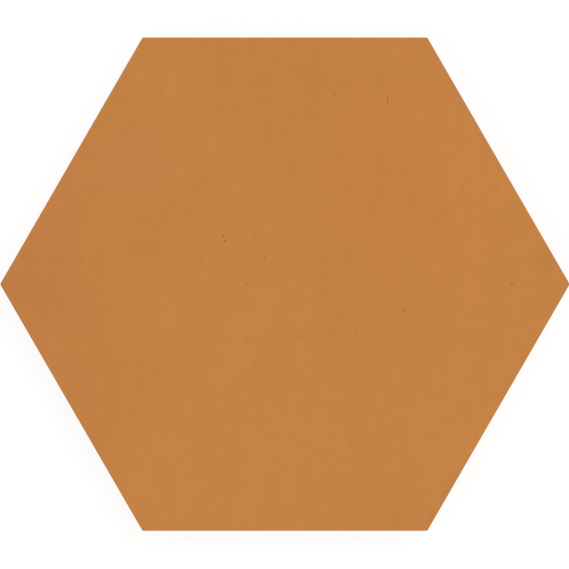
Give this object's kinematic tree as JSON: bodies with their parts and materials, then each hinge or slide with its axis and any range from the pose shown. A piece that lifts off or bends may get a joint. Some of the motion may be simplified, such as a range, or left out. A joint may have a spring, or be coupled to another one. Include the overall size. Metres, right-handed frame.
{
  "type": "hexagon floor tile",
  "caption": "Regular hexagonal floor tile with a plain matt ochre face, crisp edges, a straight edge band and a keyed back.",
  "frame": {"origin": "middle of the back, on the plane that the tile lies on", "axes": "+Z from the back to the face, +X through a corner, +Y square to a flat side"},
  "size_m": [0.2306, 0.2, 0.012],
  "materials": {
    "fired_clay": "matte"
  },
  "bodies": {
    "root": {"tile": "fired_clay"}
  },
  "joints": []
}
